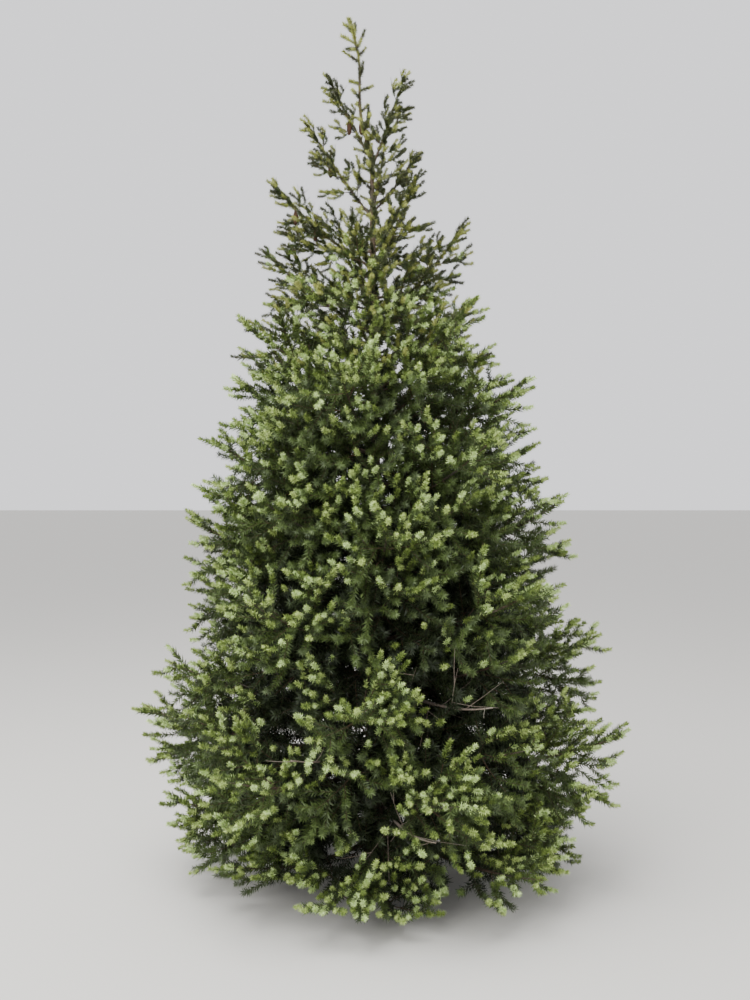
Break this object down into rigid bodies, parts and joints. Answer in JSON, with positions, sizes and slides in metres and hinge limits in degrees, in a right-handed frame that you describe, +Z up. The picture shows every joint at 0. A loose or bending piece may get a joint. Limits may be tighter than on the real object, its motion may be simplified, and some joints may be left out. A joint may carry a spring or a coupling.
{
  "type": "norway spruce tree",
  "caption": "Young Norway spruce, whole and rooted: straight flared trunk, tiers of boughs to the ground, sprays of needles with pale spring shoots, a thin leader and small hanging cones.",
  "frame": {"origin": "middle of the flat cut under the trunk, at ground level", "axes": "+Z up the trunk; +X to the right and -Y towards the viewer of the picture"},
  "size_m": [2.0272, 1.7244, 3.694],
  "materials": {
    "bark": "grey-brown scaly young bark, matte",
    "foliage": "dark green needles with pale yellow-green new shoots at the tips, satin"
  },
  "bodies": {
    "root": {"bough_1a": "bark", "bough_1b": "bark", "bough_1c": "bark", "bough_1d": "bark", "bough_1e": "bark", "bough_2a": "bark", "bough_2b": "bark", "bough_2c": "bark", "bough_2d": "bark", "bough_2e": "bark", "bough_3a": "bark", "bough_3b": "bark", "bough_3c": "bark", "bough_3d": "bark", "foliage_10a": "foliage", "foliage_10b": "foliage", "foliage_10c": "foliage", "foliage_11a": "foliage", "foliage_11b": "foliage", "foliage_11c": "foliage", "foliage_12a": "foliage", "foliage_12b": "foliage", "foliage_1a": "foliage", "foliage_1b": "foliage", "foliage_1c": "foliage", "foliage_1d": "foliage", "foliage_1e": "foliage", "foliage_2a": "foliage", "foliage_2b": "foliage", "foliage_2c": "foliage", "foliage_2d": "foliage", "foliage_2e": "foliage", "foliage_3a": "foliage", "foliage_3b": "foliage", "foliage_3c": "foliage", "foliage_3d": "foliage", "foliage_4a": "foliage", "foliage_4b": "foliage", "foliage_4c": "foliage", "foliage_4d": "foliage", "foliage_5a": "foliage", "foliage_5b": "foliage", "foliage_5c": "foliage", "foliage_5d": "foliage", "foliage_6a": "foliage", "foliage_6b": "foliage", "foliage_6c": "foliage", "foliage_6d": "foliage", "foliage_7a": "foliage", "foliage_7b": "foliage", "foliage_7c": "foliage", "foliage_7d": "foliage", "foliage_8a": "foliage", "foliage_8b": "foliage", "foliage_8c": "foliage", "foliage_9a": "foliage", "foliage_9b": "foliage", "foliage_9c": "foliage", "foliage_leader": "foliage", "trunk": "bark"}
  },
  "joints": []
}
